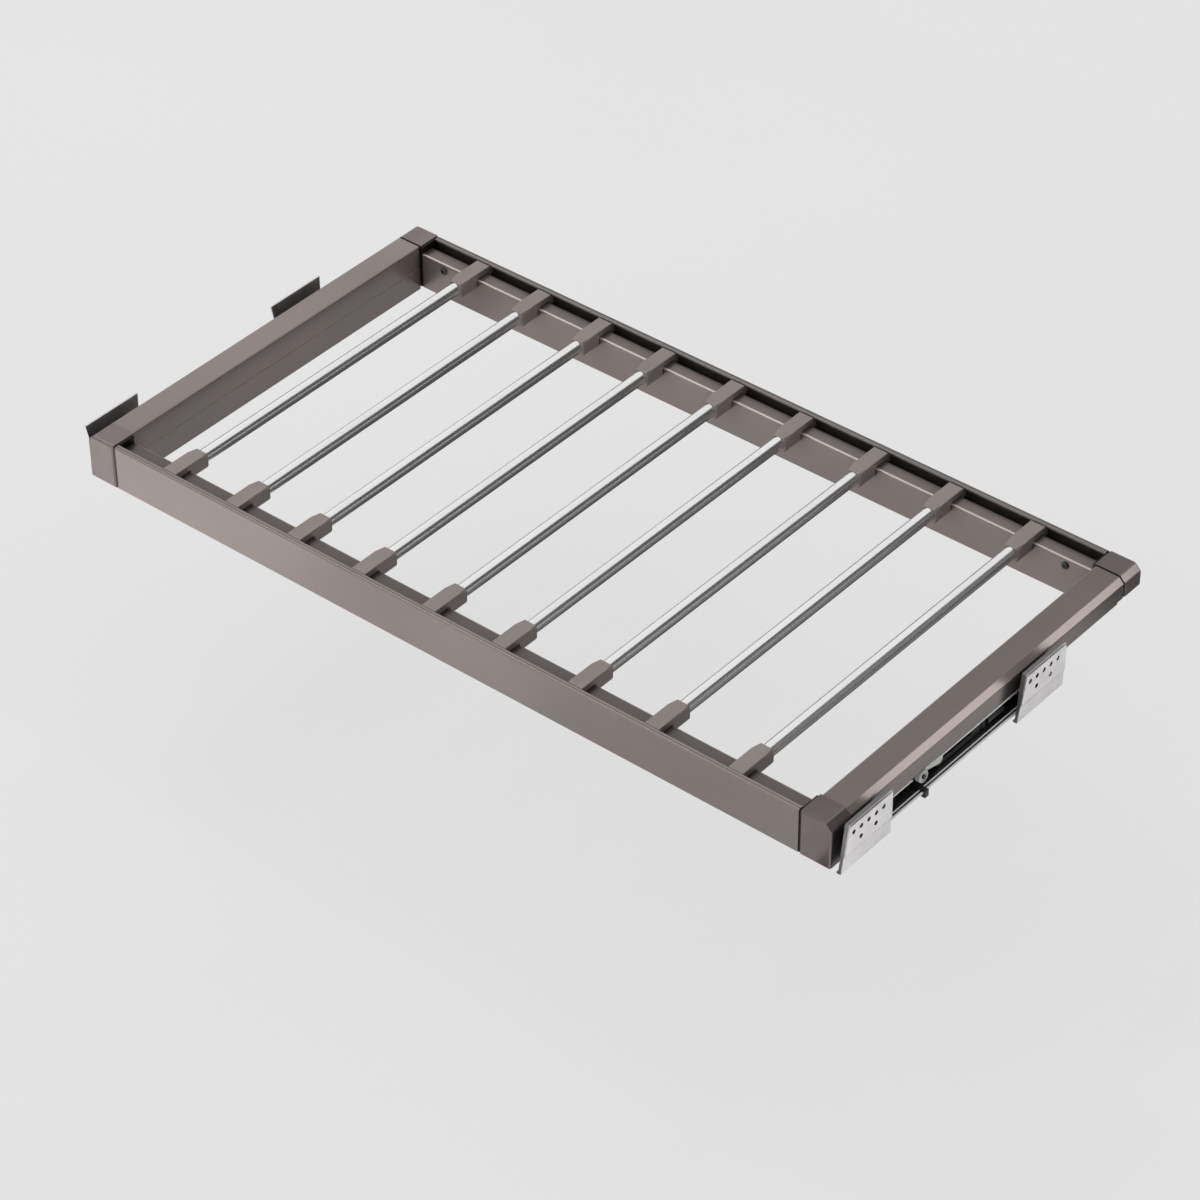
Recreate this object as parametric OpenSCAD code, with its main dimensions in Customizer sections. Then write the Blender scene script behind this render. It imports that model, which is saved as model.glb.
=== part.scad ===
// Pull-out trouser rack. An aluminium frame with nine steel cross rods runs out of a wardrobe
// on two ball slides, which hang in channels between four cabinet brackets.
// x runs across the cabinet, y from front to rear and z up, and z = 0 is the lowest point.

/* [Frame] */
// Inner width of the cabinet, over the faces of the four brackets
cabinet_w = 864; // [764:1:964]
// Depth of the frame over its corner caps
frame_d = 441; // [436:1:521]
// Gap from the frame's side to the cabinet's wall
side_gap = 11; // [10.8:0.1:12]
// Height of the frame's top over its lowest edge
frame_h = 49; // [49:1:55]

/* [Rods] */
// Diameter of a rod
rod_d = 12.7; // [11:0.1:12.7]
// Depth that a rod goes into its holder
rod_seat = 20; // [12:1:20]
// Width of a rod holder
holder_w = 15.5; // [15.4:0.1:18]
// Distance from the rail's outer face to the holder's mouth
holder_reach = 48; // [44:1:56]

/* [Slides] */
// Length of a slide, and of its full travel
slide_l = 400; // [380:1:400]
// Diameter of a slide's balls
ball_d = 2.4; // [2.2:0.1:2.4]
// Length of a ball cage
cage_l = 120; // [60:10:120]
// Length of the channel that carries a slide
channel_l = 281; // [275:1:300]

/* [Brackets] */
// Thickness of the pressed brackets
bracket_t = 1.5; // [1:0.1:1.5]
// Diameter of a bracket's screw holes
hole_d = 4.5; // [3.5:0.1:4.8]
// Pitch of a bracket's screw holes
hole_pitch = 10; // [9:0.5:10]
// Distance from the front bracket to the rear one
bracket_step = 244; // [238:1:246]

/* [Hidden] */
front = -frame_d / 2;
rear = frame_d / 2;
wall_x = cabinet_w / 2;
side_x = wall_x - side_gap;
skirt_x = side_x - 31;
rod_count = 9;
// The holders slide along the rails, and the rods stand where somebody left them
rod_stand = [-325, -249, -174.5, -98, -17, 62, 146, 229, 317];
rod_x = [for (x = rod_stand) x * cabinet_w / 864];

// Front and rear rails
rail_wall = 2;
rail_d = 25;
rail_z0 = 2.5;
rail_z1 = frame_h - 0.5;
cap_proud = 1;
rail_face = front + cap_proud;
rim_d = 6;
rim_t = 2.6;
rim_r = 1.4;
face_r = 1.8;
slot_d = 5;
slot_floor = rail_z1 - 18.5;
ledge_z = rail_z1 - 7.5;
ledge_r = 2;
slot_wall = 1.6;
cap_x = side_x - 34;
seam = 2;

// Side rails, close against the front caps and a seam away from the rear ones
cap_d = 27;
side_y0 = front + cap_d;
side_y1 = rear - cap_d;
side_face = side_x - 0.6;
bevel = 5.4;
box_z = 28;
box_wall = 1.6;
lip_z = 25.5;
lip_notch = 8;

// Screws
screw_x = cap_x - 27.5;
screw_z = slot_floor + 3;
screw_d = 4;
fit = 0.04;

// Rod and holder
rod_z = rail_z1 - 8.8;
holder_top = rail_z1 - 0.8;
holder_under = rod_z - 8.4;
play = 0.3;
rod_l = frame_d - 2 * (cap_proud + holder_reach - rod_seat);

// Slide, measured outward from the skirt and up and down from its own axis
slide_y = front + 29;
slide_x = skirt_x + 2;
slide_z = 14;
steel = 1.1;
race_r = ball_d / 2 + 0.05;
outer_ball = [8, 10.6];
inner_ball = [4.8, 7.9];
ball_count = 8;
cage_y = slide_y + slide_l / 2 - cage_l / 4;

// Channel and bracket
web_x = slide_x + 12.5;
channel_z0 = 4;
sheet = 1.5;
channel_z1 = 23.5;
notch_y = front + 129;
notch_l = 34;
bracket_y = front + 10.5;
bracket_l = 57;
bracket_z0 = 2.5;
first_hole = 5;
upper_hole_z = frame_h - 9;
lower_hole_z = frame_h - 20;
turn_z = bracket_z0 + frame_h;
turned_shift = 5.5;

// Support roller and soft-close unit
roller_y = front + 125;
roller_r = 6;
roller_z = lip_z - 0.2 - roller_r;
roller_x = side_x - 2;
roller_w = 6;
unit_y = front + 150;
unit_l = 86;

CORNERS = ["front_left", "front_right", "rear_left", "rear_right"];
SIDES = ["left", "right"];

frame_colour = "#7b7070";
holder_colour = "#857a78";
chrome_colour = "#d9d9db";
zinc_colour = "#c9c9cb";
black_colour = "#2a2a2c";
grey_colour = "#c4c4c2";

// Points of an arc about c, from one angle to another
function arc(c, r, from, to, n = 6) =
    [for (i = [0:n]) c + r * [cos(from + (to - from) * i / n), sin(from + (to - from) * i / n)]];

// Draws its children once on each side of the rack, or on one side only
module on_side(s) {
    if (s > 0) children();
    else mirror([1, 0, 0]) children();
}
module on_both_sides() for (s = [-1, 1]) on_side(s) children();

// Draws its children at the front, or turned to face the rear
module at_end(e) {
    if (e < 0) children();
    else mirror([0, 1, 0]) children();
}

// Extrudes a section drawn in x and z along y
module along_y(y0, y1) translate([0, y1, 0]) rotate([90, 0, 0]) linear_extrude(y1 - y0) children();

// Extrudes an outline drawn in y and z along x
module along_x(x0, x1) translate([x0, 0, 0]) rotate([90, 0, 90]) linear_extrude(x1 - x0) children();

// Closed chamber of the front and rear rails, or of the tenon that fills it with clearance c
function chamber(c) = [
    [rail_wall + c, rail_z0 + rail_wall + c],
    [rail_d - rail_wall - c, rail_z0 + rail_wall + c],
    [rail_d - rail_wall - c, ledge_z - rail_wall - c],
    [rim_d + slot_d + slot_wall + c, ledge_z - rail_wall - c],
    [rim_d + slot_d + slot_wall + c, slot_floor - slot_wall - c],
    [rail_wall + c, slot_floor - slot_wall - c]
];

// Front and rear rails: an outer wall with a wide rim, a slot undercut behind it and an inner ledge
module cross_rail_section() difference() {
    polygon(concat(
        [[0.5, rail_z0], [rail_d - 0.5, rail_z0], [rail_d, rail_z0 + 0.5]],
        arc([rail_d - ledge_r, ledge_z - ledge_r], ledge_r, 0, 90),
        [[rim_d + slot_d, ledge_z], [rim_d + slot_d, slot_floor], [rail_wall, slot_floor],
         [rail_wall, rail_z1 - rim_t], [rim_d, rail_z1 - rim_t]],
        arc([rim_d - rim_r, rail_z1 - rim_r], rim_r, 0, 90),
        arc([face_r, rail_z1 - face_r], face_r, 90, 180),
        [[0, rail_z0 + 0.5]]
    ));
    polygon(chamber(0));
}

// Runs across the rack, with a clearance hole near each end for the screw that holds its cap
module cross_rail(e) color(frame_colour) at_end(e) difference() {
    translate([0, rail_face, 0]) rotate([0, 0, 90]) mirror([0, 1, 0])
        along_y(-cap_x, cap_x) cross_rail_section();
    on_both_sides() translate([screw_x, rail_face + rail_d - rail_wall - 1, screw_z])
        rotate([-90, 0, 0]) cylinder(d = screw_d + 0.3, h = rail_wall + 2, $fn = 24);
}

// Chamber of a side rail, or of the tenon that fills it with clearance c
function side_chamber(c) = [
    [skirt_x + 2 + c, box_z + box_wall + c],
    [side_face - 2 - c, box_z + box_wall + c],
    [side_face - 2 - c, rail_z1 - bevel - 0.8 - c],
    [side_face - bevel - 0.8 - c, rail_z1 - 2 - c],
    [skirt_x + 2 + c, rail_z1 - 2 - c]
];

// Side rails: a bevelled box over a tall inner skirt, with an outer lip that hides the slide
module side_rail_section() difference() {
    polygon(concat(
        [[skirt_x + 0.3, 0], [skirt_x + 2, 0], [skirt_x + 2, box_z], [side_face - 2, box_z],
         [side_face - 2, lip_z + 0.4], [side_face - 1.6, lip_z], [side_face - 0.4, lip_z],
         [side_face, lip_z + 0.4]],
        arc([side_face - 1, rail_z1 - bevel - 0.4], 1, 0, 45, 3),
        arc([side_face - bevel - 0.4, rail_z1 - 1], 1, 45, 90, 3),
        arc([skirt_x + 2, rail_z1 - 2], 2, 90, 180),
        [[skirt_x, 24.5], [skirt_x + 0.5, 24], [skirt_x, 23.5], [skirt_x, 0.3]]
    ));
    polygon(side_chamber(0));
}

slide_screw_y = [for (k = [0.08, 0.36, 0.64, 0.9]) slide_y + k * slide_l];

module side_rail(s) color(frame_colour) on_side(s) difference() {
    along_y(side_y0, side_y1) side_rail_section();
    translate([side_face - 3, side_y1 - lip_notch, lip_z - 1]) cube([4, lip_notch + 1, 3.2]);
    for (y = slide_screw_y) if (y < side_y1)
        translate([skirt_x + 0.5, y, slide_z]) rotate([0, 90, 0]) cylinder(d = screw_d, h = 3, $fn = 24);
    for (y = [side_y0 + 12, side_y1 - 12]) translate([side_x - 10, y, box_z - 1])
        cylinder(d = screw_d + 0.3, h = box_wall + 2, $fn = 24);
    for (y = stud_y) translate([side_x - 10, y, box_z - 1]) cylinder(d = 3, h = box_wall + 2, $fn = 24);
}

// Corner caps: a bevelled block, thinned to a neck where it leaves the rails, with a tenon in each
function cap_outline(r) = concat(
    [[cap_x + seam, 2], [side_x - 2.5, 2]],
    arc([side_x - 2.5, 4.5], 2.5, -60, 0, 3),
    arc([side_x - r, frame_h - 6.4 - 0.42 * r], r, 0, 45, 4),
    arc([side_x - 6.4 - 0.42 * r, frame_h - r], r, 45, 90, 4),
    arc([cap_x + seam + 0.6, frame_h - 0.6], 0.6, 90, 180, 2)
);

// The block's front edges round over in three steps, each an inset with its setback
bevels = [[0, 2.4], [0.4, 1.1], [1.3, 0.3], [2, 0]];
module cap_body(d) hull() for (b = bevels)
    along_y(front + b[1], front + d - b[0] * 0.2) offset(delta = -b[0]) polygon(cap_outline(3.5));

module cap_tenons() {
    translate([0, rail_face, 0]) rotate([0, 0, 90]) mirror([0, 1, 0])
        along_y(cap_x - 34, cap_x + seam + 2) polygon(chamber(0.2));
    along_y(front + cap_d - 4, side_y0 + 26) polygon(side_chamber(0.2));
}

// Neck towards the front or rear rail, and for a rear cap the one towards the side rail
module cap_neck() translate([cap_x, rail_face + 0.7, rail_z0 + 0.6])
    cube([seam + 2, rail_d - 1.4, rail_z1 - rail_z0 - 1.4]);
module side_neck() along_y(side_y0 - seam - 2, side_y0) intersection() {
    translate([-0.8, -0.8]) polygon(cap_outline(3.5));
    translate([cap_x + seam + 0.8, rail_z0 + 0.6]) square([side_x, frame_h]);
}

module cap(e, s) color(frame_colour) at_end(e) on_side(s) difference() {
    union() {
        cap_body(e < 0 ? cap_d : cap_d - seam);
        cap_neck();
        cap_tenons();
        if (e > 0) side_neck();
    }
    if (e > 0) translate([skirt_x + 1.6, front - 1, -1]) cube([40, cap_d + 40, box_z + 1.3]);
    translate([screw_x, rail_face + rim_d + slot_d + 3, screw_z])
        rotate([-90, 0, 0]) cylinder(d = screw_d, h = rail_d, $fn = 24);
    translate([side_x - 10, side_y0 + 12, box_z - 1]) cylinder(d = screw_d, h = 12, $fn = 24);
}

// A pan head screw along z, its head below z = 0 and its shank above
module pan_screw(shank) difference() {
    union() {
        translate([0, 0, -2]) cylinder(d1 = 5.6, d2 = 7, h = 0.8, $fn = 32);
        translate([0, 0, -1.2]) cylinder(d = 7, h = 1.2, $fn = 32);
        cylinder(d = screw_d - fit, h = shank, $fn = 24);
    }
    for (a = [0, 90]) rotate([0, 0, a]) translate([-2, -0.45, -2.5]) cube([4, 0.9, 1.6]);
}

module cap_screws() color(zinc_colour) for (e = [-1, 1]) at_end(e) on_both_sides() {
    translate([screw_x, rail_face + rail_d, screw_z]) rotate([90, 0, 0]) pan_screw(10);
    translate([side_x - 10, side_y0 + 12, box_z]) pan_screw(10);
}

// Rod holder: hooks under the rail's rim, bridges the slot and the ledge and ends in a round socket
module holder_side() polygon(concat(
    [[rail_wall + play, slot_floor + 7], [rim_d + slot_d - play, slot_floor + 5.5],
     [rim_d + slot_d - play, ledge_z + play], [rail_d + play, ledge_z + play]],
    arc([rail_d + play + 2, holder_under + 2], 2, 180, 270, 4),
    [[holder_reach, holder_under + 0.8]],
    arc([holder_reach - 1.2, holder_top - 2], 1.2, 0, 90, 4),
    [[holder_reach - 16, holder_top]],
    arc([rim_d + play + 1.5, holder_top - 1.5], 1.5, 90, 180, 4),
    [[rim_d + play, rail_z1 - rim_t - play], [rail_wall + play, rail_z1 - rim_t - play]]
));

// Front view of a holder, w wide, with shoulders of radius r and rounded lower corners
module holder_front(w, r) polygon(concat(
    arc([-w / 2 + 3, holder_under + 3], 3, 270, 180, 4),
    arc([-w / 2 + r, holder_top - r], r, 180, 90),
    arc([w / 2 - r, holder_top - r], r, 90, 0),
    arc([w / 2 - 3, holder_under + 3], 3, 0, -90, 4)
));

// The square holder turns into an arch towards its mouth: distance from the mouth, inset, shoulder
mouth_steps = [[11, 0, 0.8], [1.2, 0, 5], [0, 1, 4.6]];

module holder(e, i) color(holder_colour) translate([rod_x[i - 1], 0, 0]) at_end(e) difference() {
    mouth_y = rail_face + holder_reach;
    intersection() {
        translate([0, rail_face, 0]) along_x(-holder_w / 2, holder_w / 2) holder_side();
        union() {
            along_y(rail_face, mouth_y - mouth_steps[0][0]) holder_front(holder_w, mouth_steps[0][2]);
            hull() for (m = mouth_steps) along_y(mouth_y - m[0], mouth_y - m[0] + 0.02)
                holder_front(holder_w - m[1], m[2]);
            along_y(rail_face, rail_face + rail_d)
                translate([-holder_w / 2 + 2, slot_floor]) square([holder_w - 4, 8]);
        }
    }
    translate([0, mouth_y - rod_seat, rod_z])
        rotate([-90, 0, 0]) cylinder(d = rod_d + fit, h = rod_seat + 1, $fn = 48);
}

// Polished rod with its ends softly turned down
module rod(i) color(chrome_colour) translate([rod_x[i - 1], -rod_l / 2, rod_z]) rotate([-90, 0, 0])
    rotate_extrude($fn = 48)
        polygon([[0, 0], [rod_d / 2 - 0.8, 0], [rod_d / 2, 0.8], [rod_d / 2, rod_l - 0.8],
                 [rod_d / 2 - 0.8, rod_l], [0, rod_l]]);

// Half of a member's section over the slide's axis: sheet at height h with races round the balls.
// race_up hugs a ball that lies under the sheet, race_down one that lies over it.
module race_sheet(x0, x1, h, race_up = undef, race_down = undef) difference() {
    union() {
        translate([x0, h]) square([x1 - x0, 1]);
        if (race_up) intersection() {
            translate(race_up) circle(r = race_r + 1, $fn = 40);
            translate([x0, h]) square([x1 - x0, 4]);
        }
        if (race_down) intersection() {
            translate(race_down) circle(r = race_r + 1, $fn = 40);
            translate([x0, h - 3]) square([x1 - x0, 4]);
        }
    }
    if (race_up) translate(race_up) circle(r = race_r, $fn = 40);
    if (race_down) translate(race_down) circle(r = race_r, $fn = 40);
}

// Mirrors a half section about the slide's axis
module both_races() {
    children();
    mirror([0, 1]) children();
}

module drawer_section() {
    translate([0, -7.05]) square([steel, 14.1]);
    both_races() race_sheet(0, 6.5, 6.05, race_down = inner_ball);
}
module middle_section() {
    translate([9.3, -9.75]) square([steel, 19.5]);
    both_races() race_sheet(3, 9.3 + steel, 8.75, race_up = inner_ball, race_down = outer_ball);
}
module cabinet_section() {
    translate([11.3, -12.2]) square([1.2, 24.4]);
    both_races() race_sheet(5.5, 12.5, 11.2, race_up = outer_ball);
}

// Places a slide member's section and gives it its length, its ends cut square
module slide_member(s, y0, l) on_side(s) translate([slide_x, 0, slide_z]) along_y(y0, y0 + l) children();

module drawer_member(s) color(zinc_colour) difference() {
    slide_member(s, slide_y, slide_l) drawer_section();
    for (y = slide_screw_y) on_side(s) translate([slide_x - 1, y, slide_z])
        rotate([0, 90, 0]) cylinder(d = screw_d + 0.4, h = 4, $fn = 24);
}
module middle_member(s) color(zinc_colour) difference() {
    slide_member(s, slide_y, slide_l) middle_section();
    for (k = [0.16, 0.84]) on_side(s) translate([slide_x + 8, slide_y + k * slide_l, slide_z])
        along_x(0, 4) hull_slot(7, 12);
}
module cabinet_member(s) color(zinc_colour) difference() {
    slide_member(s, slide_y, slide_l) cabinet_section();
    for (y = member_rivet_y) on_side(s) translate([web_x - 2, y, slide_z])
        rotate([0, 90, 0]) cylinder(d = screw_d, h = 3, $fn = 24);
}

// A slot with round ends, w high and l long, drawn about its middle
module hull_slot(w, l) {
    square([l - w, w], center = true);
    for (x = [-1, 1]) translate([x * (l - w) / 2, 0]) circle(d = w, $fn = 32);
}

// Ball cage: a thin strip bent to a C that keeps a row of balls over and under the axis
module ball_cage(s, ball, x0, x1) color(chrome_colour) on_side(s) translate([slide_x, 0, slide_z]) {
    along_y(cage_y, cage_y + cage_l) {
        translate([x1 - 0.5, -ball[1] - 0.25]) square([0.5, 2 * ball[1] + 0.5]);
        for (z = [-ball[1], ball[1]]) translate([x0, z - 0.25]) square([x1 - x0, 0.5]);
    }
    pitch = cage_l / ball_count;
    for (z = [-ball[1], ball[1]], k = [0:ball_count - 1])
        translate([ball[0], cage_y + (k + 0.5) * pitch, z]) sphere(d = ball_d, $fn = 24);
}

// Slide screws: flat heads on the drawer member, driven into the rail's skirt
module slide_screws() color(zinc_colour) on_both_sides() for (y = slide_screw_y) if (y < side_y1)
    translate([slide_x + steel, y, slide_z]) rotate([0, -90, 0]) difference() {
        union() {
            translate([0, 0, -1.2]) cylinder(d1 = 6, d2 = 7.5, h = 1.2, $fn = 32);
            cylinder(d = screw_d - fit, h = steel + 1.4, $fn = 24);
        }
        for (a = [0, 90]) rotate([0, 0, a]) translate([-1.7, -0.4, -1.7]) cube([3.4, 0.8, 1.3]);
    }

// Carrier channel: a C of sheet steel, its upper flange notched over the support roller
module channel_section() polygon(concat(
    [[side_x + 3, channel_z0], [side_x + 3, channel_z0 + sheet]],
    [[web_x + sheet, channel_z0 + sheet], [web_x + sheet, channel_z1 - sheet]],
    arc([side_x - 1.75, channel_z1 - 0.75], 0.75, -90, 90, 4),
    arc([web_x + 2, channel_z1 - 2], 2, 90, 180, 4),
    arc([web_x + 2, channel_z0 + 2], 2, 180, 270, 4)
));

member_rivet_y = [for (k = [0.07, 0.27, 0.9]) slide_y + k * channel_l];
bracket_rivet_y = [for (y = [0, bracket_step], k = [30, 48]) bracket_y + y + k];
rivet_x = wall_x - 18;

module channel(s) color(zinc_colour) on_side(s) difference() {
    along_y(slide_y, slide_y + channel_l) channel_section();
    translate([web_x + 2, notch_y - notch_l / 2, channel_z1 - 3]) cube([20, notch_l, 5]);
    for (y = member_rivet_y) translate([web_x - 1, y, slide_z])
        rotate([0, 90, 0]) cylinder(d = screw_d, h = 4, $fn = 24);
    for (y = bracket_rivet_y) translate([rivet_x, y, channel_z0 - 1]) cylinder(d = screw_d, h = 4, $fn = 24);
    translate([web_x + 12, roller_y - 3, channel_z0 - 1]) cube([4, 6, 4]);
}

// Bracket seen from the side, its front edge leaning forward towards the foot
function bracket_outline(c) = [
    [bracket_y - 9.5 + c, bracket_z0], [bracket_y + bracket_l, bracket_z0],
    [bracket_y + bracket_l, frame_h], [bracket_y + c, frame_h]
];

// A left bracket, turned over, leans the other way
turned_y = bracket_y + turned_shift;
turned_outline = [
    [turned_y - 9.5, frame_h], [turned_y + bracket_l, frame_h],
    [turned_y + bracket_l, bracket_z0], [turned_y, bracket_z0]
];

// Bracket across its width: flanged at the top, cranked a little below the holes, flanged at the foot
module bracket_section(foot_x) polygon(concat(
    [[foot_x, bracket_z0], [wall_x - 2.5, bracket_z0]],
    arc([wall_x - 2.5, bracket_z0 + 1.5], 1.5, -90, 0, 4),
    [[wall_x - 1, 18], [wall_x, 20]],
    arc([wall_x - 1.6, frame_h - 1.6], 1.6, 0, 90, 4),
    [[wall_x - 5.5, frame_h], [wall_x - 5.5, frame_h - bracket_t],
     [wall_x - bracket_t, frame_h - bracket_t], [wall_x - bracket_t, 20.3],
     [wall_x - 1 - bracket_t, 18.3], [wall_x - 1 - bracket_t, bracket_z0 + bracket_t],
     [foot_x, bracket_z0 + bracket_t]]
));

// The same turned over: holes and full depth below, the cranked part standing free above
module turned_section(foot_x) polygon(concat(
    [[foot_x, bracket_z0]],
    arc([wall_x - 1.6, bracket_z0 + 1.6], 1.6, -90, 0, 4),
    [[wall_x, turn_z - 20], [wall_x - 1, turn_z - 18], [wall_x - 1, frame_h],
     [wall_x - 1 - bracket_t, frame_h], [wall_x - 1 - bracket_t, turn_z - 18.3],
     [wall_x - bracket_t, turn_z - 20.3], [wall_x - bracket_t, bracket_z0 + bracket_t],
     [foot_x, bracket_z0 + bracket_t]]
));

// The turned-in front edge narrows towards the foot
module bracket_front_edge() intersection() {
    difference() {
        along_x(wall_x - 5.5, wall_x - 0.5) polygon(bracket_outline(0));
        along_x(wall_x - 6, wall_x) polygon(bracket_outline(bracket_t));
    }
    along_y(front - 20, rear) polygon([[wall_x - 5.5, frame_h], [wall_x - 0.5, frame_h],
        [wall_x - 1, 18], [wall_x - 1.5, bracket_z0], [wall_x - 4, bracket_z0]]);
}

module right_bracket() {
    intersection() {
        along_x(wall_x - 40, wall_x) polygon(bracket_outline(0));
        union() {
            along_y(front - 20, slide_y - 1) bracket_section(wall_x - 5.5);
            along_y(slide_y - 1, rear) bracket_section(web_x);
        }
    }
    bracket_front_edge();
}
module left_bracket() intersection() {
    along_x(wall_x - 40, wall_x) polygon(turned_outline);
    union() {
        along_y(front - 20, slide_y - 1) turned_section(wall_x - 5.5);
        along_y(slide_y - 1, rear) turned_section(web_x);
    }
}

module bracket(e, s) color(zinc_colour)
    on_side(s) translate([0, e < 0 ? 0 : bracket_step, 0]) difference() {
        if (s > 0) right_bracket();
        else left_bracket();
        bracket_holes(s > 0 ? bracket_y : turned_y, s > 0 ? upper_hole_z : turn_z - upper_hole_z,
            s > 0 ? lower_hole_z : turn_z - lower_hole_z);
        for (k = [30, 48]) translate([rivet_x, bracket_y + k, 0]) cylinder(d = screw_d, h = 6, $fn = 24);
    }

// Five screw holes in one row and two, under or over its second and fourth, in the other
module bracket_holes(y, five_z, two_z) {
    for (k = [0:4]) bracket_hole(y + first_hole + k * hole_pitch, five_z);
    for (k = [1, 3]) bracket_hole(y + first_hole + k * hole_pitch, two_z);
}
module bracket_hole(y, z) translate([wall_x - 4, y, z])
    rotate([0, 90, 0]) cylinder(d = hole_d, h = 6, $fn = 32);

// Rivets: domed heads inside the channel, closed flush where the slide runs
module rivet(l, tail) {
    cylinder(d = screw_d - fit, h = l, $fn = 24);
    translate([0, 0, l]) cylinder(d1 = 7, d2 = 4.5, h = 1.1, $fn = 32);
    if (tail) translate([0, 0, -0.8]) cylinder(d1 = 4.6, d2 = 6, h = 0.8, $fn = 32);
}
module rivets() color(zinc_colour) on_both_sides() {
    for (y = member_rivet_y) translate([web_x - 1.2, y, slide_z]) rotate([0, 90, 0]) rivet(2.7, false);
    for (y = bracket_rivet_y) translate([rivet_x, y, bracket_z0]) rivet(3, true);
}

// Closing unit: one black moulding that carries the roller's stub axle, a foot round the flange
// and the damper's housing
module closing_unit(s) color(black_colour) on_side(s) {
    plate_x = web_x + 1.5;
    translate([plate_x, roller_y - 8, channel_z0 + 1.5]) cube([2.5, 16, 15.5]);
    translate([plate_x, roller_y, roller_z]) rotate([0, 90, 0]) cylinder(d = 5, h = 6.6, $fn = 32);
    translate([plate_x, roller_y, roller_z]) rotate([0, 90, 0]) cylinder(d = 4, h = 16.6, $fn = 32);
    translate([plate_x, roller_y - 3, channel_z0 + 1.5]) cube([side_x + 5 - plate_x, 5, 1.5]);
    translate([side_x + 3.2, roller_y - 3, 0]) cube([1.8, 5, channel_z0 + 3]);
    translate([side_x - 1, roller_y - 3, 0]) cube([6, 5, 1.6]);
    translate([plate_x, roller_y, channel_z0 + 1.5]) cube([2, unit_y - roller_y + 1, 8]);
    damper_housing(plate_x);
}

module damper_housing(x0) difference() {
    union() {
        translate([x0, unit_y + unit_l / 2, slide_z - 0.8]) along_x(0, 9) hull_slot(14, unit_l);
        translate([x0 + 2, unit_y + unit_l - 14, slide_z - 0.8]) rotate([-90, 0, 0])
            translate([5, 0, 0]) cylinder(d = 10, h = 22, $fn = 36);
    }
    translate([x0 + 6, unit_y + 30, slide_z - 0.8]) along_x(0, 4) hull_slot(4, 44);
    for (y = [unit_y + 64, unit_y + 72]) translate([x0 + 7.5, y, slide_z - 8]) cube([3, 2, 14.4]);
}

// Catch lever: a small pressed lozenge with a nose that the stud on the rail pushes against
module catch_levers() color(grey_colour) on_both_sides() {
    translate([web_x + 10.5, unit_y, slide_z]) along_x(0, 2.5) union() {
        translate([3, 3]) circle(d = 8.6, $fn = 32);
        polygon([[3, -1.3], [3, 7.3], [-5, 7.3], [-6.5, 9.6], [-14, 10], [-17.5, 6.5], [-14, 3]]);
        translate([-14, 6.5]) circle(d = 7, $fn = 32);
    }
}

stud_y = [unit_y - 22];
module closing_studs() color(zinc_colour) on_both_sides() for (y = stud_y)
    translate([side_x - 10, y, lip_z - 1.1]) {
        cylinder(d = 5, h = box_z - lip_z + 1.1, $fn = 32);
        cylinder(d = 3 - fit, h = box_z - lip_z + 2.5, $fn = 24);
    }

// Support roller, free on the stub axle and running under the rail's lip
module support_roller(s) color(grey_colour) on_side(s)
    translate([roller_x - roller_w / 2, roller_y, roller_z]) rotate([0, 90, 0]) rotate_extrude($fn = 48)
        polygon([[2.06, 0], [roller_r - 0.6, 0], [roller_r, 0.6], [roller_r, roller_w - 0.6],
                 [roller_r - 0.6, roller_w], [4.6, roller_w], [4.2, roller_w - 1],
                 [2.06, roller_w - 1]]);

cross_rail(-1);  // front_rail
cross_rail(1);  // rear_rail
side_rail(-1);  // left_rail
side_rail(1);  // right_rail
for (e = [-1, 1], s = [-1, 1]) {
    corner = str(e < 0 ? "front_" : "rear_", s < 0 ? "left" : "right");
    cap(e, s);
    bracket(e, s);
}
cap_screws();
slide_screws();
closing_studs();
for (i = [1:rod_count]) {
    rod(i);
    holder(-1, i);
    holder(1, i);
}
for (s = [-1, 1]) {
    side = s < 0 ? "left" : "right";
    drawer_member(s);
    middle_member(s);
    cabinet_member(s);
    ball_cage(s, inner_ball, 3.4, 9.1);
    ball_cage(s, outer_ball, 6.4, 11.1);
    channel(s);
    closing_unit(s);
    support_roller(s);
}
rivets();
catch_levers();
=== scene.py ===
"""Looks of a pull out trouser rack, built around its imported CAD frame."""

import math

import bpy
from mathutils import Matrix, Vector

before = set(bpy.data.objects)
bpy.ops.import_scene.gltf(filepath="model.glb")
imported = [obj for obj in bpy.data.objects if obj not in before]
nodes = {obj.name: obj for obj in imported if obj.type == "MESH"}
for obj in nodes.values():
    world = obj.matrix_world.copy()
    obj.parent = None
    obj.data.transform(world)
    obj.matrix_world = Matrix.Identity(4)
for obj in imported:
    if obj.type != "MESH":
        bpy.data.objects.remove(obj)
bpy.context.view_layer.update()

# Camera, solved from the photograph's straight edges
CAMERA_PLACE = (1.9211, -2.2818, 2.3100)
CAMERA_TURN = (51.4538, 0.4620, 39.8021)
CAMERA_LENS = 127.463
CAMERA_SENSOR = 36.0
CAMERA_CLIP = 0.05, 60.0

# Studio, in metres and in shares of a white wall's light
FLOOR_LEVEL = -0.26
FLOOR_SIZE = 14.0
FLOOR_LIT = 0.42
FLOOR_SHOWN = 0.785
CARD_GAP = 0.003
FLAG = 0.06
WORLD_HORIZON, WORLD_ZENITH = 0.86, 1.0
WORLD_RIGHT = 0.50
WORLD_RIGHT_FROM = 0.8
WORLD_SHOWN = 0.84

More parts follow.
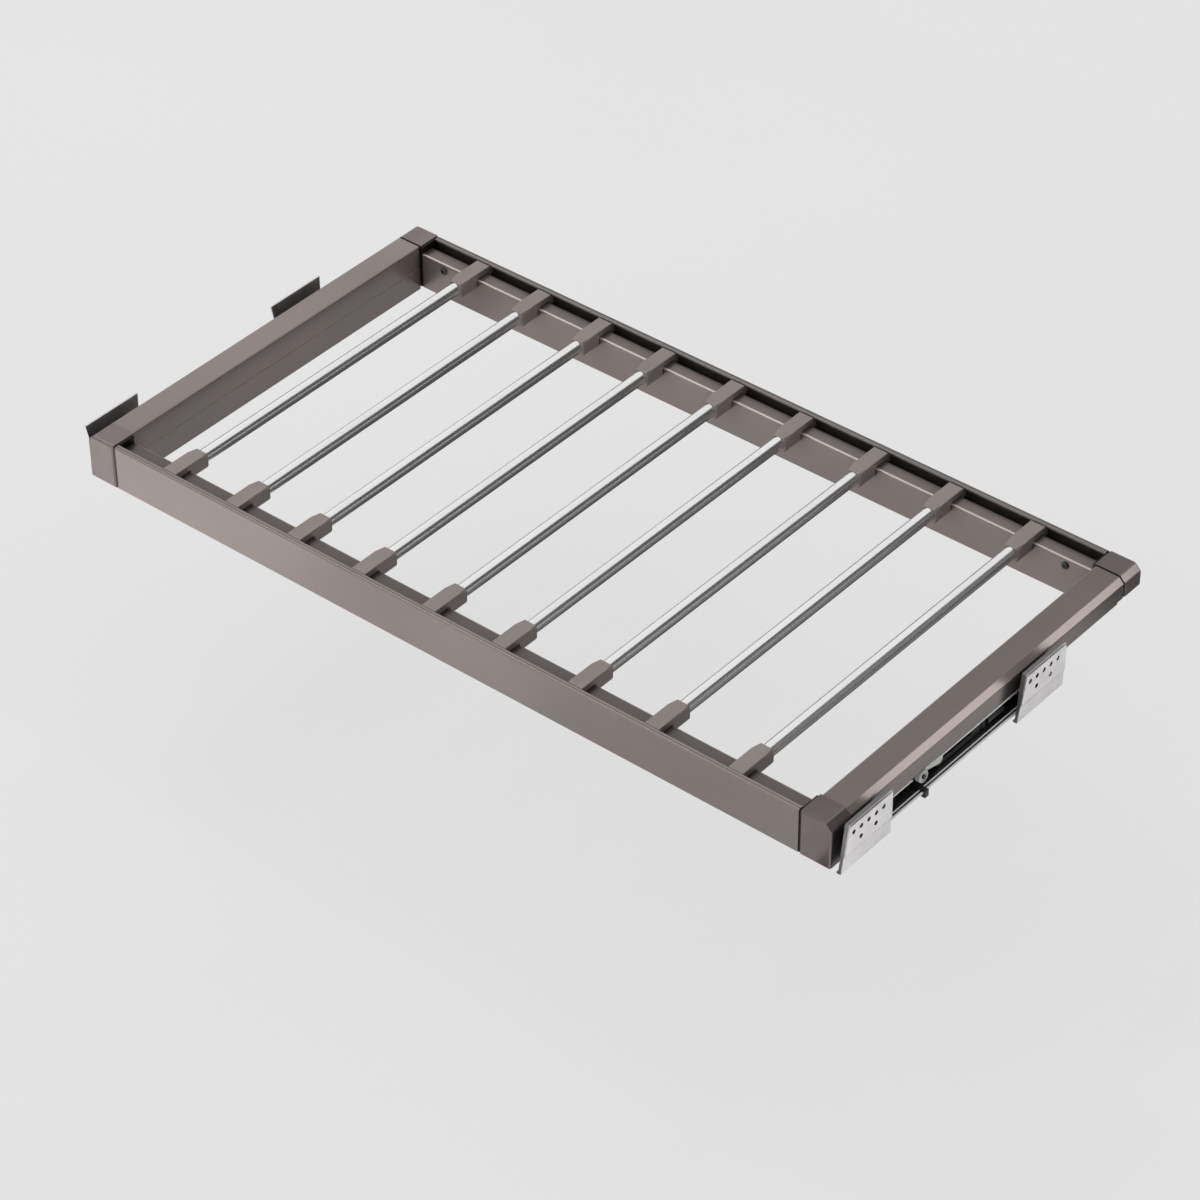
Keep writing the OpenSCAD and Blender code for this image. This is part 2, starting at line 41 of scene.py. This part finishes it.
# Colours, linear, and the zinc sheet's metallic share
TAUPE = (0.272, 0.233, 0.221)
CAP_TAUPE = (0.212, 0.180, 0.174)
HOLDER_TAUPE = (0.272, 0.234, 0.222)
# The rear rim's grey below is a painted reflection
REAR_RIM_REFLECTION_GREY = (0.12, 0.125, 0.12)
CHROME = (0.93, 0.93, 0.93)
ZINC = (0.70, 0.68, 0.68)
BRIGHT_ZINC = (0.52, 0.52, 0.51)
BRIGHT_SLIDE = (0.58, 0.58, 0.58)
DARK_STEEL = (0.10, 0.10, 0.10)
BALL_STEEL = (0.62, 0.63, 0.65)
BLACK = (0.018, 0.018, 0.019)
PALE_GREY = (0.56, 0.56, 0.54)
FLOOR = (0.86, 0.86, 0.86)
WHITE = (1.0, 1.0, 1.0)
SHEET_METALLIC = 0.9

# Places on the part, in metres
GROOVE_Y = (0.2168, 0.2176)
RIM_Z = 0.0475
REAR_RIM_Y = 0.2137
LEDGE_Y, LEDGE_Z = (0.1965, 0.2085), 0.0405
GLINT_Y, GLINT_Z = (0.1944, 0.1958), (0.0398, 0.0408)
SIDE_FACE_X, SIDE_FACE_Z = 0.4198, 0.0433
SIDE_SEAM_Y = 0.19545
CROSS_SEAM_X = 0.38895
SEAM_WIDTH = 0.0035
BRACKET_SHEET_X = (0.4306, 0.4319)
HOLES_Y = (0.098, 0.146)
RIGHT_HOLES = {"middle": -0.063, "low": 0.026, "high": 0.0455}
LEFT_HOLES = {"middle": -0.0575, "low": 0.006, "high": 0.0255}
UPPER_FLANGE_X, UPPER_FLANGE_Z = 0.4165, 0.0217
LOWER_FLANGE_Z = 0.0058
LOWER_LINE_X, LOWER_EDGE_X = (0.4192, 0.4206), 0.4224

# Painted highlights, shade and shadow at these places, as factors of the part's colour
GROOVE_SHADE_TONE = 0.35
GLINT_TONE = 2.6
BEVEL_HIGHLIGHT = 1.5
SIDE_FACE_SHADE = 0.62
CAP_BEVEL_HIGHLIGHT = 1.9
CAP_SIDE_SHADOW = 0.3
SEAM_SHADE = 0.10
HOLE_WALL_SHADE = 0.06
BRACKET_FLANGE_SHADE = 0.4
CHANNEL_EDGE_HIGHLIGHT = 1.7

# How much of the painted reflection, shade and highlight shows, the pairs at the rear and the front
REAR_RIM_REFLECTION_SHARE = 0.55
LEDGE_SHADE = 0.30, 0.55
GLINT_SHARE = 0.8, 0.25


def rgba(colour, factor=1.0):
    return tuple(min(1.0, c * factor) for c in colour) + (1.0,)


# Node graph helpers

class Graph:
    """A node tree under construction, with short calls for its nodes."""

    def __init__(self, tree):
        self.tree = tree

    def add(self, kind, **values):
        node = self.tree.nodes.new(kind)
        for key, value in values.items():
            setattr(node, key, value)
        return node

    def join(self, source, target):
        self.tree.links.new(source, target)

    def put(self, socket, value):
        """Sets a socket to a value, or links it if the value is another node's output."""
        if isinstance(value, bpy.types.NodeSocket):
            self.join(value, socket)
        else:
            socket.default_value = value

    def axis_of(self, vector, axis):
        """A vector's part along one axis."""
        split = self.add("ShaderNodeSeparateXYZ")
        self.join(vector, split.inputs["Vector"])
        return split.outputs[axis]

    def span(self, value, low, high, start=0.0, end=1.0):
        """Maps value from start..end to low..high."""
        node = self.add("ShaderNodeMapRange")
        self.join(value, node.inputs["Value"])
        node.inputs["From Min"].default_value = start
        node.inputs["From Max"].default_value = end
        node.inputs["To Min"].default_value = low
        node.inputs["To Max"].default_value = high
        return node.outputs["Result"]

    def math(self, operation, a, b):
        node = self.add("ShaderNodeMath", operation=operation)
        self.put(node.inputs[0], a)
        self.put(node.inputs[1], b)
        return node.outputs["Value"]

    def times(self, a, b):
        """The product, which for two masks is where both are 1."""
        return self.math("MULTIPLY", a, b)

    def above(self, value, low):
        return self.math("GREATER_THAN", value, low)

    def below(self, value, high):
        return self.math("LESS_THAN", value, high)

    def between(self, value, low, high):
        """1 where a value lies between two others, else 0."""
        return self.times(self.above(value, low), self.below(value, high))

    def either(self, a, b):
        """The larger of two, which for two masks is where one of them is 1."""
        return self.math("MAXIMUM", a, b)

    def shown(self):
        """1 for what the camera sees, directly or in metal or glass, else 0."""
        path = self.add("ShaderNodeLightPath")
        mirrored = self.either(path.outputs["Is Glossy Ray"], path.outputs["Is Transmission Ray"])
        return self.either(path.outputs["Is Camera Ray"], mirrored)


class Surface(Graph):
    """A material under construction, with its shader and the places on the part."""

    def __init__(self, name):
        self.material = bpy.data.materials.new(name)
        self.material.use_nodes = True
        super().__init__(self.material.node_tree)
        self.shader = self.tree.nodes["Principled BSDF"]
        coordinates = self.add("ShaderNodeTexCoord")
        self.place = coordinates.outputs["Object"]
        self.normal = coordinates.outputs["Normal"]

    def scaled(self, scale):
        """The place on the part, stretched by a factor along each axis."""
        mapping = self.add("ShaderNodeMapping")
        self.join(self.place, mapping.inputs["Vector"])
        mapping.inputs["Scale"].default_value = scale
        return mapping.outputs["Vector"]

    def noise(self, scale, detail):
        """Noise with its own scale along each axis, in features per metre."""
        node = self.add("ShaderNodeTexNoise")
        self.join(self.scaled(scale), node.inputs["Vector"])
        node.inputs["Scale"].default_value = 1.0
        node.inputs["Detail"].default_value = detail
        node.inputs["Roughness"].default_value = 0.55
        return node.outputs["Fac"]

    def blend(self, factor, a, b):
        node = self.add("ShaderNodeMix", data_type="RGBA")
        self.put(node.inputs["Factor"], factor)
        self.put(node.inputs["A"], a)
        self.put(node.inputs["B"], b)
        return node.outputs["Result"]

    def dimmed(self, colour, factor):
        """A colour times a factor."""
        return self.blend(factor, (0.0, 0.0, 0.0, 1.0), colour)

    def darker(self, colour, mask, factor):
        """A colour times a factor where a mask is 1."""
        return self.dimmed(colour, self.span(mask, 1.0, factor))

    def clouded(self, cloud, colour, swing):
        """A colour that varies by a swing to both sides."""
        return self.blend(self.span(cloud, 0.0, 1.0, 0.3, 0.7),
                          rgba(colour, 1.0 - swing), rgba(colour, 1.0 + swing))

    def edges(self, radius):
        """1 on the part's sharp edges and 0 on its faces, with the rounded normal."""
        bevel = self.add("ShaderNodeBevel", samples=6)
        bevel.inputs["Radius"].default_value = radius
        plain = self.add("ShaderNodeNewGeometry")
        dot = self.add("ShaderNodeVectorMath", operation="DOT_PRODUCT")
        self.join(bevel.outputs["Normal"], dot.inputs[0])
        self.join(plain.outputs["Normal"], dot.inputs[1])
        return self.span(dot.outputs["Value"], 0.0, 1.0, 0.995, 0.80), bevel.outputs["Normal"]

    def crevice_shade(self, distance, depth, shut=0.15, clear=0.75):
        """Painted shade: 1 in the open, down to 1 - depth in seams and slots narrower than a
        distance.
        """
        node = self.add("ShaderNodeAmbientOcclusion", samples=8)
        node.inputs["Distance"].default_value = distance
        return self.span(node.outputs["AO"], 1.0 - depth, 1.0, shut, clear)

    def along(self, axis):
        """The place on the part along one axis, in metres."""
        return self.axis_of(self.place, axis)

    def outward(self, axis, middle=0.0):
        """The distance from a middle along one axis, in metres."""
        return self.math("ABSOLUTE", self.math("SUBTRACT", self.along(axis), middle), 0.0)

    def normal_along(self, axis):
        """How far a face looks along one axis, in either direction: 0 to 1."""
        return self.math("ABSOLUTE", self.axis_of(self.normal, axis), 0.0)

    def bevels(self):
        """1 on faces that slope outward along X, else 0."""
        return self.times(self.between(self.normal_along("X"), 0.5, 0.9),
                          self.between(self.normal_along("Z"), 0.5, 0.9))

    def hole_field(self, middle, low, high):
        """1 where a side's two brackets have their screw holes."""
        return self.times(self.between(self.outward("Y", middle), *HOLES_Y),
                          self.between(self.along("Z"), low, high))

    def bump(self, height, distance, strength, normal=None):
        node = self.add("ShaderNodeBump")
        self.join(height, node.inputs["Height"])
        node.inputs["Distance"].default_value = distance
        node.inputs["Strength"].default_value = strength
        if normal is not None:
            self.join(normal, node.inputs["Normal"])
        return node.outputs["Normal"]

    def finish(self, **sockets):
        """Sets the shader's sockets by name, with _ for a space."""
        for name, value in sockets.items():
            self.put(self.shader.inputs[name.replace("_", " ")], value)
        return self.material


# Painted highlights, reflections and shade at places on the part

def mark_cross_rail(g, tone):
    """The painted shade of a fine groove in the rim, a painted grey reflection on the rear rim,
    painted shade on the ledge and a painted highlight at its edge.
    """
    out, up, y = g.outward("Y"), g.along("Z"), g.along("Y")
    front = g.below(y, 0.0)
    raised = g.above(up, RIM_Z)
    rim = g.times(g.above(y, REAR_RIM_Y), raised)
    ledge = g.times(g.between(out, *LEDGE_Y), g.above(up, LEDGE_Z))
    glint = g.times(g.between(out, *GLINT_Y), g.between(up, *GLINT_Z))
    groove = g.times(g.between(out, *GROOVE_Y), raised)
    tone = g.blend(g.times(rim, REAR_RIM_REFLECTION_SHARE), tone, rgba(REAR_RIM_REFLECTION_GREY))
    tone = g.darker(tone, g.times(ledge, g.span(front, *LEDGE_SHADE)), 0.0)
    tone = g.blend(g.times(glint, g.span(front, *GLINT_SHARE)), tone, rgba(TAUPE, GLINT_TONE))
    return g.darker(tone, groove, GROOVE_SHADE_TONE)


def mark_side_rail(g, tone):
    """The bevel made pale as a painted highlight, over the outer face darkened as painted shade."""
    tone = g.blend(g.bevels(), tone, rgba(TAUPE, BEVEL_HIGHLIGHT))
    side = g.times(g.above(g.outward("X"), SIDE_FACE_X), g.below(g.along("Z"), SIDE_FACE_Z))
    return g.darker(tone, side, SIDE_FACE_SHADE)


def mark_cap(g, tone):
    """The rear caps' bevels made pale as a painted highlight, the front caps' outer sides darkened
    as a painted shadow, and the necks in the seams darkened as painted shade.
    """
    rear = g.above(g.along("Y"), 0.0)
    tone = g.blend(g.times(g.bevels(), rear), tone, rgba(CAP_TAUPE, CAP_BEVEL_HIGHLIGHT))
    side = g.times(g.above(g.normal_along("X"), 0.9), g.above(g.outward("X"), SIDE_FACE_X))
    tone = g.darker(tone, g.math("SUBTRACT", side, rear), CAP_SIDE_SHADOW)
    side_seam = g.between(g.along("Y"), 0.0, SIDE_SEAM_Y)
    cross_seam = g.below(g.outward("X"), CROSS_SEAM_X)
    return g.darker(tone, g.either(side_seam, cross_seam), SEAM_SHADE)


def mark_bracket(g, tone):
    """The walls of the screw holes and the right brackets' flanges, darkened as painted shade."""
    x = g.along("X")
    inner, outer = BRACKET_SHEET_X
    right = g.times(g.between(x, inner, outer), g.hole_field(**RIGHT_HOLES))
    left = g.times(g.between(x, -outer, -inner), g.hole_field(**LEFT_HOLES))
    flanges = g.between(x, 0.0, inner)
    dim = g.times(g.span(g.either(right, left), 1.0, HOLE_WALL_SHADE),
                  g.span(flanges, 1.0, BRACKET_FLANGE_SHADE))
    return g.dimmed(tone, dim), SHEET_METALLIC


def mark_channel(g, tone):
    """The edges of the channel's flanges, made bright as a painted highlight."""
    up, out = g.along("Z"), g.outward("X")
    lines = g.math("ADD", g.between(out, *LOWER_LINE_X), g.above(out, LOWER_EDGE_X))
    low = g.times(g.below(up, LOWER_FLANGE_Z), lines)
    high = g.times(g.above(up, UPPER_FLANGE_Z), g.above(out, UPPER_FLANGE_X))
    bright = g.either(low, high)
    tone = g.blend(bright, tone, rgba(BRIGHT_SLIDE, CHANNEL_EDGE_HIGHLIGHT))
    return tone, g.span(bright, SHEET_METALLIC, 0.0)


# Materials

def anodised(name, along, mark):
    """Satin anodised extrusion: die lines along its length, a soft cloudiness, edges paler as wear
    and a painted highlight, and painted shade in seams and slots.
    """
    g = Surface(name)
    axis = "XY".index(along)
    lines, bands = [2600.0] * 3, [420.0] * 3
    lines[axis], bands[axis] = 4.0, 0.9
    drawn = g.noise(lines, 2.0)
    banded = g.noise(bands, 2.0)
    cloud = g.noise((7.0,) * 3, 3.0)
    grain = g.noise((5200.0,) * 3, 1.0)
    edge, rounded = g.edges(0.0004)
    tone = g.clouded(cloud, TAUPE, 0.07)
    tone = g.blend(g.span(drawn, 0.0, 0.22), tone, rgba(TAUPE, 1.12))
    tone = g.blend(g.times(edge, 0.22), tone, rgba(TAUPE, 1.7))
    tone = g.dimmed(tone, g.times(g.crevice_shade(SEAM_WIDTH, 0.75), g.crevice_shade(0.020, 0.65, 0.2, 0.95)))
    tone = mark(g, tone)
    rough = g.span(g.math("ADD", banded, g.span(cloud, 0.0, 0.5)), 0.27, 0.33, 0.3, 1.2)
    height = g.math("ADD", g.span(drawn, 0.0, 0.6), g.span(grain, 0.0, 0.4))
    return g.finish(Base_Color=tone, Metallic=0.72, Roughness=rough, Specular_IOR_Level=0.5,
                    Normal=g.bump(height, 0.00003, 0.12, rounded))


def moulded(name, colour, rough_low, rough_high, edge_wear_and_sheen=1.35, metallic=0.0, mark=None):
    """Moulded plastic: a fine spark-eroded grain, faint flow clouds, edges paler as wear and a
    painted highlight, and painted shade in seams.
    """
    g = Surface(name)
    grain = g.noise((3200.0,) * 3, 2.0)
    flow = g.noise((38.0, 14.0, 38.0), 3.0)
    edge, rounded = g.edges(0.0006)
    tone = g.clouded(flow, colour, 0.08)
    tone = g.blend(g.times(edge, 0.35), tone, rgba(colour, edge_wear_and_sheen))
    tone = g.dimmed(tone, g.crevice_shade(SEAM_WIDTH, 0.8))
    if mark is not None:
        tone = mark(g, tone)
    rough = g.span(grain, rough_low, rough_high, 0.3, 0.7)
    return g.finish(Base_Color=tone, Metallic=metallic, Roughness=rough, Specular_IOR_Level=0.5,
                    Normal=g.bump(grain, 0.00008, 0.4, rounded))


def polished(name, colour, along_scale, rough_low, rough_high, line_share=0.05):
    """Bright polished metal: fine polishing lines along Y and smudges."""
    g = Surface(name)
    lines = g.noise((3000.0, along_scale, 3000.0), 2.0)
    smudge = g.noise((24.0, 9.0, 24.0), 4.0)
    rough = g.math("ADD", g.span(smudge, rough_low, rough_high, 0.35, 0.7),
                   g.span(lines, 0.0, line_share, 0.4, 0.8))
    tone = g.blend(g.span(smudge, 0.0, 1.0, 0.3, 0.75), rgba(colour), rgba(colour, 0.93))
    return g.finish(Base_Color=tone, Metallic=1.0, Roughness=rough,
                    Normal=g.bump(lines, 0.00002, 3.0 * line_share))


def galvanised(name, colour, rough=0.34, spangle=260.0, edge_highlight_share=0.15, edge_width=0.0002,
               relief=0.15, shade=(0.014, 0.4, 0.15, 0.75), mark=None):
    """Zinc-coated sheet: soft spangles, rolling lines, cut edges made bright as a painted highlight,
    and painted shade in seams and slots.
    """
    g = Surface(name)
    cells = g.add("ShaderNodeTexVoronoi", feature="F1")
    g.join(g.scaled((spangle,) * 3), cells.inputs["Vector"])
    cells.inputs["Scale"].default_value = 1.0
    flakes = g.add("ShaderNodeSeparateColor")
    g.join(cells.outputs["Color"], flakes.inputs["Color"])
    flake = flakes.outputs["Red"]
    rolled = g.noise((1400.0, 16.0, 1400.0), 2.0)
    dust = g.noise((60.0,) * 3, 4.0)
    edge, rounded = g.edges(edge_width)
    tone = g.blend(g.span(flake, 0.0, 1.0), rgba(colour, 0.94), rgba(colour, 1.03))
    tone = g.blend(g.span(dust, 0.0, 0.3, 0.45, 0.8), tone, rgba(colour, 0.8))
    tone = g.blend(g.times(edge, edge_highlight_share), tone, rgba(colour, 1.5))
    tone = g.dimmed(tone, g.times(g.crevice_shade(0.0025, 0.8), g.crevice_shade(*shade)))
    metallic = SHEET_METALLIC
    if mark is not None:
        tone, metallic = mark(g, tone)
    roughness = g.math("ADD", g.span(flake, rough - 0.03, rough + 0.03),
                       g.span(dust, -0.03, 0.05, 0.3, 0.8))
    height = g.math("ADD", g.span(rolled, 0.0, 0.5), g.span(flake, 0.0, 0.5))
    return g.finish(Base_Color=tone, Metallic=metallic, Roughness=roughness,
                    Normal=g.bump(height, 0.00003, relief, rounded))


# What the channels' and the slides' sheet have in common
SLIDE_SHEET = {"spangle": 90.0, "relief": 0.04}

MATERIALS = {
    "rail_x": anodised("anodised_rail_x", "X", mark_cross_rail),
    "rail_y": anodised("anodised_rail_y", "Y", mark_side_rail),
    "cap": moulded("corner_cap_plastic", CAP_TAUPE, 0.25, 0.33, metallic=0.7, mark=mark_cap),
    "holder": moulded("rod_holder_plastic", HOLDER_TAUPE, 0.34, 0.48, metallic=0.5),
    "rod": polished("polished_rod", CHROME, 18.0, 0.19, 0.23, 0.006),
    "zinc": galvanised("zinc_sheet", ZINC, mark=mark_bracket),
    "slide": galvanised("zinc_slide", BRIGHT_SLIDE, 0.22, edge_highlight_share=0.4, edge_width=0.0006,
                        shade=(0.022, 0.85, 0.3, 0.95), **SLIDE_SHEET),
    "channel": galvanised("zinc_channel", BRIGHT_SLIDE, 0.24, edge_highlight_share=0.1, edge_width=0.0003,
                          shade=(0.022, 0.85, 0.4, 1.0), mark=mark_channel, **SLIDE_SHEET),
    "screw": polished("bright_zinc", BRIGHT_ZINC, 900.0, 0.16, 0.28),
    "dark_screw": polished("blackened_screw", DARK_STEEL, 900.0, 0.22, 0.34),
    "ball": polished("ball_steel", BALL_STEEL, 3000.0, 0.06, 0.14),
    "black": moulded("black_plastic", BLACK, 0.36, 0.52, 2.2),
    "pale": moulded("pale_plastic", PALE_GREY, 0.30, 0.44, 1.3),
}

# Parts of a node's name and the material they stand for; the first that fits is taken
FINISHES = (
    (("front_rail", "rear_rail"), "rail_x"),
    (("left_rail", "right_rail"), "rail_y"),
    (("_cap",), "cap"),
    (("_holder_",), "holder"),
    (("rod_",), "rod"),
    (("_bracket",), "zinc"),
    (("_channel",), "channel"),
    (("_member",), "slide"),
    (("cap_screws",), "dark_screw"),
    (("screws", "rivets", "studs"), "screw"),
    (("_ball_cage",), "ball"),
    (("closing_unit",), "black"),
    (("roller", "levers"), "pale"),
)


def finish_of(node_name):
    """The key in MATERIALS of a CAD node, from its name."""
    for parts, key in FINISHES:
        if any(part in node_name for part in parts):
            return key
    raise ValueError(node_name)


for node_name, node_object in nodes.items():
    node_object.data.materials.clear()
    node_object.data.materials.append(MATERIALS[finish_of(node_name)])


# Stage

def floor_material():
    """Pale studio floor with the faintest unevenness."""
    g = Surface("stage_floor_paint")
    seen = g.shown()
    tone = g.clouded(g.noise((1.3,) * 3, 2.0), FLOOR, 0.015)
    return g.finish(Base_Color=g.darker(tone, seen, FLOOR_LIT), Roughness=0.9,
                    Specular_IOR_Level=0.1, Emission_Color=rgba(WHITE),
                    Emission_Strength=g.times(seen, (1.0 - FLOOR_LIT) * FLOOR_SHOWN))


def plane(name, width, depth, place, turn=(0.0, 0.0, 0.0)):
    mesh = bpy.data.meshes.new(name)
    x, y = width / 2, depth / 2
    mesh.from_pydata([(-x, -y, 0), (x, -y, 0), (x, y, 0), (-x, y, 0)], [], [(0, 1, 2, 3)])
    made = bpy.data.objects.new(name, mesh)
    made.location = place
    made.rotation_euler = turn
    bpy.context.scene.collection.objects.link(made)
    return made


floor = plane("stage_floor", FLOOR_SIZE, FLOOR_SIZE, (0.0, 0.0, FLOOR_LEVEL))
floor.data.materials.append(floor_material())


def facing(place, aim):
    """The turn that points an object's -Z at the aim, its Y kept upright."""
    return (Vector(aim) - Vector(place)).to_track_quat("-Z", "Y").to_euler()


# Cards

def card(name, width, height, place, turn, level):
    """A matt card of the studio that only shines or darkens in what is polished."""
    made = plane(name, width, height, place, turn)
    made.data.materials.append(Surface(name).finish(
        Base_Color=(0.02, 0.02, 0.02, 1.0), Roughness=0.9, Specular_IOR_Level=0.0,
        Emission_Color=rgba(WHITE), Emission_Strength=level))
    made.visible_camera = False
    made.visible_diffuse = False
    made.visible_shadow = False


def floor_card(name, width, depth, x, y, level, layer=1):
    """A card just over the floor, or over a lower one."""
    card(name, width, depth, (x, y, FLOOR_LEVEL + layer * CARD_GAP), (0.0, 0.0, 0.0), level)


def aimed_card(name, width, height, place, aim, level):
    card(name, width, height, place, facing(place, aim), level)


def wall_card(name, height, length, place, level):
    """An upright card across X."""
    card(name, height, length, place, (0.0, math.pi / 2, 0.0), level)


floor_card("flag_under_rack", 2.4, 1.2, 0.2, 0.63, FLAG)
floor_card("reflector_right", 0.19, 0.52, 0.70, 0.21, 1.6, layer=2)
aimed_card("flag_right", 3.75, 3.06, (2.27, 0.95, 1.37), (1.45, 0.376, 1.37), FLAG)
aimed_card("strip_right", 0.46, 0.10, (0.60, 0.20, 0.17), (0.42, 0.20, 0.045), 1.7)
# What the rods see beneath the right rail, and the left rail's inner face beneath the rods
wall_card("wall_under_right", 0.24, 0.80, (0.4000, 0.10, -0.125), 0.13)
wall_card("card_left_inner", 0.06, 0.50, (-0.3580, 0.04, -0.016), 0.45)
# What the brackets' top edges hide from the right rail's bevel
wall_card("wall_front_bracket", 0.07, 0.087, (0.4360, -0.1975, 0.085), FLAG)
wall_card("wall_rear_bracket", 0.07, 0.059, (0.4360, 0.0637, 0.085), FLAG)
# A thin wall over the right rail's inner side: dark towards the rods, grey towards the rail's top
wall_card("wall_right_dark", 0.11, 0.66, (0.3850, 0.07, 0.107), 0.12)
wall_card("wall_right_grey", 0.11, 0.66, (0.3856, 0.07, 0.107), 0.42)
aimed_card("card_rear_left", 0.7, 0.7, (-1.45, 0.95, 1.05), (-0.4, 0.0, 0.0), 0.9)
# What the front rail's face shows, lighter towards its left end
floor_card("card_front_left", 0.58, 0.45, -0.71, -0.525, 1.4)
floor_card("card_front_middle", 0.32, 0.45, -0.26, -0.525, 1.0)
floor_card("card_front_right", 0.45, 0.45, 0.125, -0.525, 0.66)


def softbox(name, place, aim, width, height, radiance):
    """An area lamp of a given radiance, in units of a white wall's."""
    lamp = bpy.data.lights.new(name, "AREA")
    lamp.shape = "RECTANGLE"
    lamp.size, lamp.size_y = width, height
    lamp.energy = radiance * math.pi * width * height
    made = bpy.data.objects.new(name, lamp)
    made.location = place
    made.rotation_euler = facing(place, aim)
    bpy.context.scene.collection.objects.link(made)


softbox("key_top", (-1.6, 0.15, 2.5), aim=(0.0, 0.0, 0.0), width=0.9, height=0.9, radiance=2.4)


def studio_world():
    """A white room, a little brighter overhead than at the horizon and dim at the right."""
    world = bpy.data.worlds.new("studio")
    world.use_nodes = True
    g = Graph(world.node_tree)
    direction = g.add("ShaderNodeTexCoord").outputs["Generated"]
    level = g.span(g.axis_of(direction, "Z"), WORLD_HORIZON, WORLD_ZENITH)
    side = g.span(g.axis_of(direction, "X"), 1.0, WORLD_RIGHT, end=WORLD_RIGHT_FROM)
    chosen = g.add("ShaderNodeMix")
    g.put(chosen.inputs["Factor"], g.shown())
    g.put(chosen.inputs["A"], g.times(level, side))
    g.put(chosen.inputs["B"], WORLD_SHOWN)
    background = world.node_tree.nodes["Background"]
    g.put(background.inputs["Strength"], chosen.outputs["Result"])
    g.put(background.inputs["Color"], rgba(WHITE))
    return world


bpy.context.scene.world = studio_world()


# Camera

camera_data = bpy.data.cameras.new("camera")
camera_data.lens = CAMERA_LENS
camera_data.sensor_width = CAMERA_SENSOR
camera_data.clip_start, camera_data.clip_end = CAMERA_CLIP
camera = bpy.data.objects.new("camera", camera_data)
camera.location = CAMERA_PLACE
camera.rotation_euler = [math.radians(v) for v in CAMERA_TURN]
bpy.context.scene.collection.objects.link(camera)
bpy.context.scene.camera = camera

bpy.context.scene.view_settings.view_transform = "Standard"
